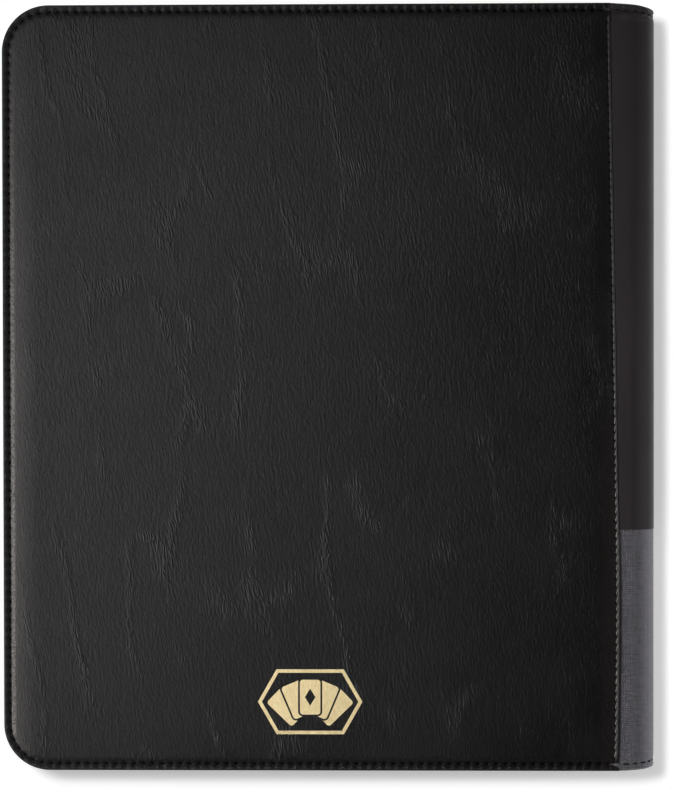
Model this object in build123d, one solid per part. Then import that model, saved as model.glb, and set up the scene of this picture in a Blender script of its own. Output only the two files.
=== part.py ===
from build123d import *
import math
import os

# Three-ring trading card binder, closed, lying on its front cover with the back cover on top.
# +X is the spine side, +Y the head, +Z up. Sizes are in millimetres.

# Overall
HALF_X = 140.5
HALF_Y = 165.0
THICKNESS = 50.0
MID_Z = THICKNESS / 2
CORNER_R = 20.0  # fore-edge corners of both covers
EDGE_R = 1.6  # rounding where the leather turns over an edge

# Layers of a cover, from the outside in
LEATHER = 0.9
FOAM = 1.5
BOARD = 2.0
LINING = 0.8
BOARD_END = 122.0  # the boards stop here
COVER_END = 124.0  # leather, foam and lining pass into the fold here

# Spine and folds
SPINE = 4.0
FOLD_R = 11.0
PANEL_TOP = -61.0  # the woven panel covers the spine below this height
SPINE_FACE = HALF_X - SPINE  # inner face of the spine lining
SPINE_BOARD_FACE = SPINE_FACE + LINING
COVER_LINING_R = FOLD_R - LEATHER - FOAM - BOARD  # outer radius of the fold's lining
FOLD_X = HALF_X - FOLD_R  # axis of the fold's skin
LINING_X = SPINE_BOARD_FACE - COVER_LINING_R  # axis of the fold's lining

# Ring housing, heights measured from the spine lining towards the fore-edge
SHEET = 0.9
HOUSING_HALF_LENGTH = 138.0
HOUSING_HALF_WIDTH = 10.8
HOUSING_HEIGHT = 6.6
CROWN_R = 30.2
LEDGE = (1.9, 2.7)  # bead that carries the blades
LEDGE_INNER = 8.4
RIVET_Y = 128.0
SHANK_R = 1.8
HEAD_R = 4.0
HEAD_HEIGHT = 7.5
HEAD_ROUND = 0.6
TAIL_DEPTH = 0.8

# Blades
BLADE = (3.0, 4.0)  # bottom and top
BLADE_INNER = 0.3
BLADE_EDGE = 9.2  # axis of the round outer edge that the blade turns on
BLADE_HALF_LENGTH = 134.0
BLADE_NOTCH_R = 2.6

# Rings
RING_HEIGHT = 16.0  # ring centre above the spine lining
RING_R = 14.5
WIRE_R = 1.4
RING_SPACING = 108.0
RING_SPLIT = 0.1  # half the gap where two ring halves meet
RING_SLOT = (6.2, 11.5, 2.6, 2.2)  # inner, outer, lowest height, half length

# Levers and their pins
PIN_HEIGHT = 3.2
PIN_Y = 136.5
PIN_R = 1.0
LEVER_BORE_R = 1.15
HUB_R = 2.0
LEVER_HALF_WIDTH = 5.5
LEVER_SHEET = 1.6
LEVER_BEND_R = 3.0
LEVER_PATH = [(136.5, 3.2), (141.5, 5.6), (147.2, 9.4), (149.2, 17.0)]
TONGUE_HALF_WIDTH = 2.2
TONGUE = (133.2, 1.2, 2.1)  # inner end, bottom, top
LEVER_SLOT = (132.5, 6.2)  # start and half width of the slot in the housing

# Pages
PAGES = 12
PAGE_LENGTH = 240.0
PAGE_HALF_HEIGHT = 146.0
PAGE = 0.9
PAGE_CORNER_R = 3.0
PAGE_PITCH = 1.3  # spacing on the rings
PAGE_TILT = 0.368  # degrees of fan for each millimetre off the middle
HOLE_R = 4.0
HOLE_SHIFT = 1.0  # the wire rests this far off the hole's middle
HOLE_MARGIN = 7.2  # hole middle to the page's inner edge

# Foil emblem on the back cover: a fan of blank cards in a six-sided frame
EMBLEM_X = -8.0
EMBLEM_Y = -135.0
EMBLEM_SIZE = (45.0, 28.0)
EMBLEM_POINT = 8.0
FOIL = 0.15
STROKE = 1.5
CARD_SIZE = (8.8, 15.0)
CARD_R = 1.3
CARD_GAP = 0.8
FAN = [-46.0, 46.0, -23.0, 23.0, 0.0]
FAN_PIVOT = -14.4
FAN_RISE = 2.0
DIAMOND = (2.3, 3.7)  # half width and half height of the cut-out in the middle card


def block(x, y, z):
    """Box between two limits on each axis."""
    middle = [(low + high) / 2 for low, high in (x, y, z)]
    return Pos(*middle) * Box(x[1] - x[0], y[1] - y[0], z[1] - z[0])


def spine_block(height, across, along):
    """Box placed by its height above the spine lining and its offset from the middle plane."""
    x = (SPINE_FACE - height[1], SPINE_FACE - height[0])
    return block(x, along, (MID_Z + across[0], MID_Z + across[1]))


def spine_cylinder(radius, height, y):
    """Upright cylinder on the spine lining's middle line."""
    length = height[1] - height[0]
    centre = (SPINE_FACE - (height[0] + height[1]) / 2, y, MID_Z)
    return Pos(*centre) * Rot(0, 90, 0) * Cylinder(radius, length)


def along_spine(section, y0, y1):
    """Extrude a section drawn as (height above the lining, offset from the middle)."""
    plane = Plane(origin=(SPINE_FACE, y0, MID_Z), x_dir=(-1, 0, 0), z_dir=(0, 1, 0))
    return extrude(plane * section, y1 - y0)


def flipped(shape):
    """Mirror image in the binder's middle plane."""
    return mirror(shape, Plane.XY.offset(MID_Z))


def at_foot(shape):
    """Mirror image at the other end of the spine."""
    return mirror(shape, Plane.XZ)


# Covers


def cover_outline(inset, x_end):
    """Outline of a cover, set in from its edges, with round fore-edge corners."""
    left = inset - HALF_X
    plate = Pos((left + x_end) / 2, 0) * Rectangle(x_end - left, 2 * (HALF_Y - inset))
    return fillet(plate.vertices().group_by(Axis.X)[0], CORNER_R - inset)


def cover_layer(inset, x_end, z0, height):
    """One flat layer of the front cover."""
    return Pos(0, 0, z0) * extrude(cover_outline(inset, x_end), height)


def cover_leather():
    """Leather tray that wraps the foam and the board on three sides."""
    depth = LEATHER + FOAM + BOARD
    tray = cover_layer(0, COVER_END, 0, depth)
    outer = tray.edges().group_by(Axis.Z)[0].sort_by(Axis.X)[:-1]
    tray = fillet(outer, EDGE_R)
    return tray - cover_layer(LEATHER, COVER_END, LEATHER, depth)


def cover_foam():
    return cover_layer(LEATHER, COVER_END, LEATHER, FOAM)


def cover_board():
    return cover_layer(LEATHER, BOARD_END, LEATHER + FOAM, BOARD)


def cover_lining():
    return cover_layer(0, COVER_END, LEATHER + FOAM + BOARD, LINING)


# Folds between the covers and the spine


def fold(outer_x, outer_r, inner_x, inner_r, y0, y1):
    """Quarter bend from the cover to the spine, between two round faces."""
    outline = make_face(
        [
            Line((COVER_END, FOLD_R - outer_r), (outer_x, FOLD_R - outer_r)),
            CenterArc((outer_x, FOLD_R), outer_r, -90, 90),
            Line((outer_x + outer_r, FOLD_R), (inner_x + inner_r, FOLD_R)),
            CenterArc((inner_x, FOLD_R), inner_r, 0, -90),
            Line((inner_x, FOLD_R - inner_r), (COVER_END, FOLD_R - inner_r)),
            Line((COVER_END, FOLD_R - inner_r), (COVER_END, FOLD_R - outer_r)),
        ]
    )
    plane = Plane(origin=(0, y1, 0), x_dir=(1, 0, 0), z_dir=(0, -1, 0))
    return extrude(plane * outline, y1 - y0)


def fold_foam():
    """Padding between the fold's skin and its lining."""
    end = HALF_Y - LEATHER
    return fold(FOLD_X, FOLD_R - LEATHER, LINING_X, COVER_LINING_R, -end, end)


def fold_lining():
    return fold(LINING_X, COVER_LINING_R, LINING_X, COVER_LINING_R - LINING, -HALF_Y, HALF_Y)


def fold_skin(y0, y1, end):
    """Outer skin of a fold, closed at the end of the spine that it reaches."""
    skin = fold(FOLD_X, FOLD_R, LINING_X, COVER_LINING_R, y0, y1)
    rim = skin.edges().filter_by(lambda e: abs(e.center().Y - end) < 0.01)
    rim = [e for e in rim if on_outer_face(e)]
    return fillet(rim, EDGE_R) - fold_foam()


def on_outer_face(edge):
    """Whether an edge of a fold's end lies along its outer face."""
    flat = abs(edge.center().Z) < 0.01
    bend = edge.geom_type == GeomType.CIRCLE and abs(edge.radius - FOLD_R) < 0.01
    return flat or bend


# Spine


def spine_skin(y0, y1, end):
    """Outer skin of the spine, closed at the end that it reaches."""
    flat = (FOLD_R, THICKNESS - FOLD_R)
    skin = block((SPINE_BOARD_FACE, HALF_X), (y0, y1), flat)
    rim = skin.edges().filter_by(Axis.Z).group_by(Axis.X)[-1]
    skin = fillet([e for e in rim if abs(e.center().Y - end) < 0.01], EDGE_R)
    inside = HALF_Y - LEATHER
    return skin - block((SPINE_BOARD_FACE, HALF_X - LEATHER), (-inside, inside), flat)


def rivet_shank(y, top):
    """Rivet shank with its flat tail sunk in the back of the spine board."""
    low = LEATHER - SPINE
    tail = spine_cylinder(HEAD_R, (low, low + TAIL_DEPTH), y)
    return tail + spine_cylinder(SHANK_R, (low, top), y)


def rivet_holes():
    return [rivet_shank(y, HEAD_HEIGHT) for y in (-RIVET_Y, RIVET_Y)]


def spine_board():
    end = HALF_Y - LEATHER
    flat = (FOLD_R, THICKNESS - FOLD_R)
    return block((SPINE_BOARD_FACE, HALF_X - LEATHER), (-end, end), flat) - rivet_holes()


def spine_lining():
    flat = (FOLD_R, THICKNESS - FOLD_R)
    return block((SPINE_FACE, SPINE_BOARD_FACE), (-HALF_Y, HALF_Y), flat) - rivet_holes()


# Ring mechanism


def under_crown(radius, half_width):
    """Area between the spine lining and one face of the housing's crown."""
    centre = HOUSING_HEIGHT - CROWN_R
    side = centre + math.sqrt(radius**2 - half_width**2)
    return make_face(
        [
            ThreePointArc((side, half_width), (centre + radius, 0), (side, -half_width)),
            Line((side, -half_width), (0, -half_width)),
            Line((0, -half_width), (0, half_width)),
            Line((0, half_width), (side, half_width)),
        ]
    )


def both_sides(height, across, along):
    """A box and its mirror image on the other side of the middle plane."""
    return [
        spine_block(height, across, along),
        spine_block(height, (-across[1], -across[0]), along),
    ]


def ring_slots():
    """Slots in the housing that the ring halves swing through."""
    inner, outer, low, half = RING_SLOT
    slots = []
    for y in (-RING_SPACING, 0, RING_SPACING):
        slots += both_sides((low, HOUSING_HEIGHT + 1), (inner, outer), (y - half, y + half))
    return slots


def pin(radius, half_length, y):
    """Cylinder across the housing at a lever's axis."""
    return Pos(SPINE_FACE - PIN_HEIGHT, y, MID_Z) * Cylinder(radius, 2 * half_length)


def ring_housing():
    """Arched channel with slots for the rings and levers and beads for the blades."""
    inner_width = HOUSING_HALF_WIDTH - SHEET
    section = under_crown(CROWN_R, HOUSING_HALF_WIDTH) - under_crown(CROWN_R - SHEET, inner_width)
    housing = along_spine(section, -HOUSING_HALF_LENGTH, HOUSING_HALF_LENGTH)
    beads = (-HOUSING_HALF_LENGTH, HOUSING_HALF_LENGTH)
    housing += both_sides(LEDGE, (LEDGE_INNER, inner_width + SHEET / 2), beads)
    start, half_width = LEVER_SLOT
    slot = spine_block((0, HOUSING_HEIGHT + 1), (-half_width, half_width), (start, HALF_Y))
    housing -= ring_slots() + [slot, at_foot(slot)] + rivet_holes()
    return housing - [pin(PIN_R, HOUSING_HALF_WIDTH, y) for y in (-PIN_Y, PIN_Y)]


def housing_rivets():
    """Two rivets through the housing, the lining and the spine board."""
    half_length = HOUSING_HALF_LENGTH
    crown = along_spine(under_crown(CROWN_R, HOUSING_HALF_WIDTH), -half_length, half_length)
    rivets = []
    for y in (-RIVET_Y, RIVET_Y):
        head = spine_cylinder(HEAD_R, (HOUSING_HEIGHT - HEAD_ROUND, HEAD_HEIGHT), y)
        head = fillet(head.edges().group_by(Axis.X)[0], HEAD_ROUND) - crown
        rivets.append(head + rivet_shank(y, HOUSING_HEIGHT))
    return rivets


def lever_pins():
    return [pin(PIN_R, HOUSING_HALF_WIDTH, y) for y in (-PIN_Y, PIN_Y)]


def blade():
    """Spring blade on the back cover's side, notched where the rivets pass."""
    low, high = BLADE
    along = (-BLADE_HALF_LENGTH, BLADE_HALF_LENGTH)
    edge = Rot(90, 0, 0) * Cylinder((high - low) / 2, 2 * BLADE_HALF_LENGTH)
    edge = Pos(SPINE_FACE - (low + high) / 2, 0, MID_Z + BLADE_EDGE) * edge
    plate = spine_block(BLADE, (BLADE_INNER, BLADE_EDGE), along) + edge
    notch_height = (0, HOUSING_HEIGHT)
    return plate - [spine_cylinder(BLADE_NOTCH_R, notch_height, y) for y in (-RIVET_Y, RIVET_Y)]


def ring_half(y):
    """Half ring on the back cover's side, from its blade to the split."""
    centre = Pos(SPINE_FACE - RING_HEIGHT, y, MID_Z)
    ring = centre * Rot(90, 0, 0) * Torus(RING_R, WIRE_R)
    reach = RING_R + 2 * WIRE_R
    half = spine_block((BLADE[1], RING_HEIGHT + reach), (RING_SPLIT, reach), (y - reach, y + reach))
    return ring & half


def lever_slice(profile, half_width):
    """Extrude a lever profile drawn as (distance along the spine, height above the lining)."""
    low = MID_Z - half_width
    plane = Plane(origin=(SPINE_FACE, 0, low), x_dir=(0, 1, 0), z_dir=(0, 0, 1))
    return extrude(plane * profile, 2 * half_width)


def lever():
    """Opening lever at the head: a hub, a bent thumb tab and a tongue under the blades."""
    arm = trace(FilletPolyline(*LEVER_PATH, radius=LEVER_BEND_R), LEVER_SHEET)
    hub = Pos(PIN_Y, PIN_HEIGHT) * Circle(HUB_R)
    tip, low, high = TONGUE
    tongue = Pos((tip + PIN_Y) / 2, (low + high) / 2) * Rectangle(PIN_Y - tip, high - low)
    shape = lever_slice(arm + hub, LEVER_HALF_WIDTH)
    shape += lever_slice(tongue, TONGUE_HALF_WIDTH)
    return shape - pin(LEVER_BORE_R, HOUSING_HALF_WIDTH, PIN_Y)


# Pages


def page_offset(index):
    """Where a page lies on the rings, from the middle plane."""
    return (index - (PAGES - 1) / 2) * PAGE_PITCH


def page(index):
    """Nine-pocket page with three ring holes, fanned about the ring wire."""
    offset = page_offset(index)
    wire_x = SPINE_FACE - RING_HEIGHT - math.sqrt(RING_R**2 - offset**2)
    hole_x = -HOLE_SHIFT
    middle = hole_x + HOLE_MARGIN - PAGE_LENGTH / 2
    sheet = Pos(middle, 0) * RectangleRounded(PAGE_LENGTH, 2 * PAGE_HALF_HEIGHT, PAGE_CORNER_R)
    for y in (-RING_SPACING, 0, RING_SPACING):
        sheet -= Pos(hole_x, y) * Circle(HOLE_R)
    slab = Pos(0, 0, -PAGE / 2) * extrude(sheet, PAGE)
    return Pos(wire_x, 0, MID_Z + offset) * Rot(0, PAGE_TILT * offset, 0) * slab


# Emblem


def frame_outline(inset):
    """Six-sided frame, longer than it is high."""
    half_y = EMBLEM_SIZE[1] / 2
    slant = math.hypot(EMBLEM_POINT, half_y)
    tip = EMBLEM_SIZE[0] / 2 - inset * slant / half_y
    height = half_y - inset
    shoulder = tip - EMBLEM_POINT * height / half_y
    corners = [(tip, 0), (shoulder, height), (-shoulder, height)]
    corners += [(-x, -y) for x, y in corners]
    return make_face(Polyline(*corners, close=True))


def card(grow):
    """Blank playing-card shape, grown all round."""
    width, height = CARD_SIZE
    return RectangleRounded(width + 2 * grow, height + 2 * grow, CARD_R + grow)


def emblem():
    """Foil drawing of five fanned cards in a frame."""
    drawing = frame_outline(0) - frame_outline(STROKE)
    for angle in FAN:
        place = Pos(0, FAN_PIVOT + FAN_RISE) * Rot(0, 0, angle) * Pos(0, -FAN_PIVOT)
        drawing = drawing - place * card(CARD_GAP) + place * card(0)
    half_width, half_height = DIAMOND
    corners = [(half_width, 0), (0, half_height), (-half_width, 0), (0, -half_height)]
    drawing -= Pos(0, FAN_RISE) * make_face(Polyline(*corners, close=True))
    return Pos(EMBLEM_X, EMBLEM_Y, THICKNESS - FOIL) * extrude(drawing, FOIL)


def export(name, *shapes):
    """Write one node, with each separate piece as a solid of its own."""
    solids = [solid for shape in shapes for solid in shape.solids()]
    node = solids[0] if len(solids) == 1 else Compound(children=solids)
    node.label = name
    export_step(node, f"parts/{name}.step")
    print(name, len(solids), round(sum(solid.volume for solid in solids)))


def export_covers():
    mark = emblem()
    for side, place in (("front", lambda s: s), ("back", flipped)):
        leather = place(cover_leather())
        if side == "back":
            leather -= mark
        export(f"{side}_cover_leather", leather)
        export(f"{side}_cover_foam", place(cover_foam()))
        export(f"{side}_cover_board", place(cover_board()))
        export(f"{side}_cover_lining", place(cover_lining()))
        export(f"spine_leather_{side}_fold", place(fold_skin(PANEL_TOP, HALF_Y, HALF_Y)))
        export(f"spine_panel_{side}_fold", place(fold_skin(-HALF_Y, PANEL_TOP, -HALF_Y)))
        export(f"{side}_hinge_foam", place(fold_foam()))
        export(f"{side}_hinge_lining", place(fold_lining()))
    export("back_cover_emblem", mark)


def export_spine():
    export("spine_leather", spine_skin(PANEL_TOP, HALF_Y, HALF_Y))
    export("spine_panel", spine_skin(-HALF_Y, PANEL_TOP, -HALF_Y))
    export("spine_board", spine_board())
    export("spine_lining", spine_lining())
    export("ring_housing", ring_housing())
    export("housing_rivets", *housing_rivets())
    export("lever_pins", *lever_pins())


def export_mechanism():
    head = lever()
    export("lever_head", head)
    export("lever_foot", at_foot(head))
    upper = blade()
    export("blade_back", upper)
    export("blade_front", flipped(upper))
    for place, y in (("foot", -RING_SPACING), ("middle", 0), ("head", RING_SPACING)):
        half = ring_half(y)
        export(f"ring_back_{place}", half)
        export(f"ring_front_{place}", flipped(half))


def export_pages():
    for index in range(PAGES):
        export(f"page_{index + 1:02d}", page(index))


os.makedirs("parts", exist_ok=True)
export_covers()
export_spine()
export_mechanism()
export_pages()
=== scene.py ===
import math

import bmesh
import bpy
import numpy as np
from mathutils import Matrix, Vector


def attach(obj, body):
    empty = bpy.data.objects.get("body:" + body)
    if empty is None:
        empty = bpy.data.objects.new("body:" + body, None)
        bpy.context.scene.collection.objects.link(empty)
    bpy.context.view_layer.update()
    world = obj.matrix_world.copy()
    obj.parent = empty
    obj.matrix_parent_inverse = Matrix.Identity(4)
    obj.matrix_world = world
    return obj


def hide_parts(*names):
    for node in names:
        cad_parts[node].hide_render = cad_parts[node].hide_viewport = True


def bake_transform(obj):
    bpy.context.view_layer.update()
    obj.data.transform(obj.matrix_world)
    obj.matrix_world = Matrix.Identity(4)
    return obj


# Looks of the trading card binder. Shapes are worked out in millimetres in the CAD frame
# (+X spine, +Y head, +Z up) and turned into metres when a mesh is made.
# Everything on the front cover is the back cover's shape mirrored in the middle plane.

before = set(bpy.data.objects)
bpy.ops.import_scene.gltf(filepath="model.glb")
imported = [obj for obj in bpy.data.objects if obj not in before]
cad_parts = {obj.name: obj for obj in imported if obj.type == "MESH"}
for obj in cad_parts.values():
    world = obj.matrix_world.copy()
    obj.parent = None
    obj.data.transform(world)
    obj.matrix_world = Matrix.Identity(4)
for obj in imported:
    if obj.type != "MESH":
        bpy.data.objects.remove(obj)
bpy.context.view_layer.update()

# Outline
LEFT = -140.5
RIGHT = 140.5
HALF_Y = 165.0
TOP = 50.0
MID_Z = TOP / 2
CORNER = 20.0  # radius of the covers' corners at the fore-edge
CROWN = 50.9  # height of the padded leather before anything sinks in

# Lower faces of the back cover's layers, and where the layers stop
LINING_Z = 44.8
BOARD_Z = 45.6
FOAM_Z = 47.6
LEATHER = 0.9
LEATHER_INSET = 0.9  # inner side of the turned leather
FOAM_INSET = 5.0
FOAM_END = 117.5
LINING_END = 124.0

# Seam beside the spine, and the fold behind it
SEAM = 122.8
HEM = 1.3
FOLD_X = 129.5
FOLD_Z = 39.0
SPINE_Z = TOP - FOLD_Z  # the flat of the spine runs from here to FOLD_Z
PANEL_TOP = -61.0

# Thread
STITCH_INSET = 3.0
STITCH_PITCH = 4.0
STITCH_LENGTH = 2.9
STITCH_RADIUS = 0.3
SEAM_PITCH = 3.5

# Rings and pages
RING_X = 120.5
RING_R = 14.5
RING_YS = (-108, 0, 108)
PAGES = 12
PAGE_PITCH = 1.3
PAGE_INNER = 6.2  # the page's two long edges, counted from the ring wire
PAGE_OUTER = -233.8
PAGE_HALF_Y = 146
PAGE_CORNER = 3
SHEET = 0.28
POCKET = (69.8, 92.8)

rng = np.random.default_rng(7)


# ---------------------------------------------------------------- numbers


def smooth(low, high, value):
    t = np.clip((np.asarray(value, float) - low) / (high - low), 0, 1)
    return t * t * (3 - 2 * t)


def curve(value, points):
    """Smooth curve through (place, height) points, held flat past its ends."""
    x, y = np.array(points, float).T
    slope = np.gradient(y, x)
    rise = np.diff(y) / np.diff(x)
    slope[0] = slope[-1] = 0
    for i in range(1, len(x) - 1):
        if rise[i - 1] * rise[i] <= 0:
            slope[i] = 0
        else:
            slope[i] = 2 * rise[i - 1] * rise[i] / (rise[i - 1] + rise[i])
    value = np.clip(value, x[0], x[-1])
    i = np.clip(np.searchsorted(x, value) - 1, 0, len(x) - 2)
    h = x[i + 1] - x[i]
    t = (value - x[i]) / h
    a = (2 * t**3 - 3 * t**2 + 1) * y[i] + (t**3 - 2 * t**2 + t) * h * slope[i]
    return a + (3 * t**2 - 2 * t**3) * y[i + 1] + (t**3 - t**2) * h * slope[i + 1]


def seam_x(y):
    """The seam beside the spine isn't quite straight: it bows towards the spine below the middle."""
    bend = [(-165, 0.2), (-149, 0.6), (-90, 1.15), (-28, 0.4), (27, -0.4), (110, -1.9), (165, -2.7)]
    return SEAM + curve(y, bend)


def drawn_in(x, end=1):
    """How far the spine's head sits back from the covers' edges; the tail sits back half as far."""
    back = curve(x, [(123, 0), (127, 0.25), (131, 0.7), (134.7, 1.2), (138, 1.7), (140.5, 2.2)])
    return np.where(np.asarray(end) > 0, 1.0, 0.45) * back


def spine_x(z):
    """The flat of the spine bulges a little between its folds."""
    return RIGHT + 0.25 * np.sin(np.pi * (z - SPINE_Z) / (FOLD_Z - SPINE_Z))


def stitch_groove(inset):
    """Depth that the edge stitching pulls the lining in."""
    return 0.22 * np.exp(-(((inset - STITCH_INSET) / 0.7) ** 2))


def bow(x, y):
    """How far a point near the spine side is shifted to follow the seam."""
    hem = (0.45 - 0.6 * smooth(-85, -40, y)) * np.clip(x - SEAM, 0, HEM)
    return ((seam_x(y) - SEAM) * smooth(70, 116, x) + hem) * (1 - smooth(126, 133, x))


def edge_distance(x, y):
    """Distance in from the three stitched edges of a cover."""
    x, y = np.asarray(x, float), np.abs(np.asarray(y, float))
    straight = np.minimum(x - LEFT, HALF_Y - y)
    cx, cy = LEFT + CORNER, HALF_Y - CORNER
    round_corner = CORNER - np.hypot(np.minimum(x - cx, 0), np.maximum(y - cy, 0))
    return np.where((x < cx) & (y > cy), round_corner, straight)


# How far the leather lies below its crown: in from a stitched edge, in from the seam, and for the
# spine's skin in from its head or tail
EDGE_DROP = [(0, 2.5), (0.2, 1.75), (0.5, 1.33), (0.9, 1.15), (1.35, 1.25), (1.8, 1.45), (2.4, 1.85),
             (2.9, 2.2), (3.2, 2.05), (3.8, 1.55), (4.4, 1.12), (5.1, 0.77), (6, 0.6), (7.5, 0.48),
             (10, 0.34), (13, 0.23), (18, 0.12), (27, 0.03), (40, 0)]
SEAM_DROP = [(-1.3, 1.5), (-1.15, 1.1), (-0.85, 0.86), (-0.45, 0.98), (0, 1.45), (0.5, 1.25), (1.2, 1.05),
             (2.2, 0.86), (3.6, 0.62), (5.5, 0.38), (8, 0.2), (12, 0.08), (20, 0)]
RIM_DROP = [(0, 1.3), (0.25, 0.65), (0.7, 0.25), (1.25, 0.1), (1.8, 0.2), (2.4, 0.5), (3, 0.75),
            (3.6, 0.55), (4.4, 0.2), (5.6, 0.04), (7, 0)]


def cover_top(x, y, puffed):
    """Height of a cover's leather: rolled rim, sunk stitch line, padded middle and sunk seam. Where it
    isn't puffed, as under the binder's weight, it is pressed flat at TOP."""
    inset = edge_distance(x, y)
    edge = curve(inset, EDGE_DROP)
    seam = curve(SEAM - x, SEAM_DROP)
    z = CROWN - (edge**4 + seam**4) ** 0.25
    z = z + 0.07 * np.sin(x / 31 + 1.3) * np.sin(y / 43 + 0.4) * smooth(12, 45, inset)
    if puffed:
        return z
    knee = TOP - 0.4
    return np.where(z < knee, z, TOP - 0.4 * np.exp(-np.maximum(z - knee, 0) / 0.4))


# ---------------------------------------------------------------- meshes


def grid_faces(rows, cols, start=0):
    """Quads between neighbouring rows of a grid."""
    faces = []
    for r in range(rows - 1):
        for c in range(cols - 1):
            a = start + r * cols + c
            b = a + cols
            faces.append((a, a + 1, b + 1, b))
    return faces


def piece(name, verts, faces, body, material, uv=None, weld=0.0, flip=False, sharp=35):
    """Mesh object in metres that rides on a CAD body. flip mirrors it to the front cover's side, and
    weld is the distance within which its points are merged."""
    verts = np.array(verts, float)
    if flip:
        verts[:, 2] = TOP - verts[:, 2]
    mesh = bpy.data.meshes.new(name)
    mesh.from_pydata((verts / 1000).tolist(), [], faces)
    if uv is not None:
        layer = mesh.uv_layers.new(name="Run")
        index = np.empty(len(mesh.loops), int)
        mesh.loops.foreach_get("vertex_index", index)
        layer.data.foreach_set("uv", (np.array(uv, float)[index] / 1000).ravel())
    bm = bmesh.new()
    bm.from_mesh(mesh)
    if weld:
        bmesh.ops.remove_doubles(bm, verts=bm.verts, dist=weld / 1000)
        bmesh.ops.dissolve_degenerate(bm, edges=bm.edges, dist=1e-7)
        rim = [e for e in bm.edges if e.is_boundary]
        if rim:
            bmesh.ops.holes_fill(bm, edges=rim, sides=0)
    bmesh.ops.recalc_face_normals(bm, faces=bm.faces)
    bm.to_mesh(mesh)
    bm.free()
    mesh.polygons.foreach_set("use_smooth", [True] * len(mesh.polygons))
    mesh.set_sharp_from_angle(angle=math.radians(sharp))
    mesh.materials.append(material)
    obj = bpy.data.objects.new(name, mesh)
    bpy.context.scene.collection.objects.link(obj)
    if body:
        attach(obj, body)
    return obj


# ---------------------------------------------------------------- covers


def outline(x_end, steps):
    """Points along a cover's stitched edges, from the tail's spine end round to the head's, with the
    inward normals, the distance run and the point on the middle line that each faces."""
    xs = x_end - np.array(steps, float)
    xs = np.append(xs, np.linspace(xs[-1], LEFT + CORNER, int((xs[-1] - LEFT - CORNER) / 4) + 1)[1:])
    turn = np.radians(np.linspace(0, 90, 22)[1:])
    ys = np.linspace(-HALF_Y + CORNER, 0, 37)[1:]
    points = [(x, -HALF_Y) for x in xs]
    normals = [(0.0, 1.0)] * len(xs)
    for a in turn:
        n = (math.sin(a), math.cos(a))
        points.append((LEFT + CORNER - CORNER * n[0], -HALF_Y + CORNER - CORNER * n[1]))
        normals.append(n)
    points += [(LEFT, y) for y in ys]
    normals += [(1.0, 0.0)] * len(ys)
    points, normals = np.array(points), np.array(normals)
    run = np.append(0, np.cumsum(np.hypot(*np.diff(points + STITCH_INSET * normals, axis=0).T)))
    last = np.searchsorted(-xs, -60)
    spread = (run - run[last]) / (run[-1] - run[last])
    target = np.where(spread <= 0, points[:, 0], xs[last] - (xs[last] + 55) * spread)
    mirror = slice(-2, None, -1)
    both = np.array([1, -1])
    points = np.vstack([points, points[mirror] * both])
    normals = np.vstack([normals, normals[mirror] * both])
    target = np.append(target, target[mirror])
    run = np.append(run, 2 * run[-1] - run[mirror])
    return points, normals, target, run


SPINE_STEPS = [0, 0.08, 0.2, 0.4, 0.65, 0.95, 1.3, 1.6, 2.0, 2.5, 3.2, 4.2, 5.4, 7, 9, 12, 16, 20]


def rings(path, insets, spans):
    """Grid of points from the outline inwards, first at fixed insets, then on to the middle line."""
    points, normals, target, run = path
    rows = [points + d * normals for d in insets]
    middle = np.stack([target, np.zeros_like(target)], 1)
    rows += [rows[-1] + t * (middle - rows[-1]) for t in spans]
    flat = np.array(rows)
    u = np.tile(run, (len(rows), 1))
    v = np.array([list([d] * len(run)) for d in insets] + [[30 + 100 * t] * len(run) for t in spans])
    return flat, np.stack([u, v], 2)


def spans(count):
    """Shares of the way to the middle line, closer together near the edge."""
    return np.linspace(0, 1, count + 1)[1:] ** 1.25


def lay(flat, height):
    """Turn flat rings into points with a height, following the bowed seam."""
    x, y = flat[..., 0], flat[..., 1]
    z = height(x, y) if callable(height) else np.full_like(x, height)
    return np.stack([x + bow(x, y), y, z], -1).reshape(-1, 3)


def shell(path, outer, inner):
    """Closed skin from two stacks of rings whose first rings meet. Each stack is (rings, heights)."""
    cols = len(path[0])
    verts = np.vstack([outer[0], inner[0]])
    uv = np.vstack([outer[1], inner[1]])
    split = len(outer[0])
    faces = grid_faces(split // cols, cols) + grid_faces(len(inner[0]) // cols, cols, split)
    faces += [(c, c + 1, split + c + 1, split + c) for c in range(cols - 1)]
    return verts, faces, uv


def stack(path, wall, insets, span_count, height):
    """Rings of one face of a cover layer. wall is the list of (inset, height) points below its edge."""
    low, low_uv = [], []
    for d, z in wall:
        flat, uv = rings(path, [d], [])
        low.append(lay(flat, z))
        low_uv.append(uv.reshape(-1, 2))
    flat, uv = rings(path, insets, spans(span_count))
    low.append(lay(flat, height))
    low_uv.append(uv.reshape(-1, 2))
    return np.vstack(low), np.vstack(low_uv)


FINE = [0, 0.1, 0.25, 0.5, 0.8, 1.25, 1.7, 2.1, 2.5, 3, 3.5, 4, 4.6, 5.4, 6.4, 7.8, 9.5, 12, 15]
COARSE = [0.9, 1.3, 1.8, 3, 4.4, 6.4, 9.5, 15]


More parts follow.
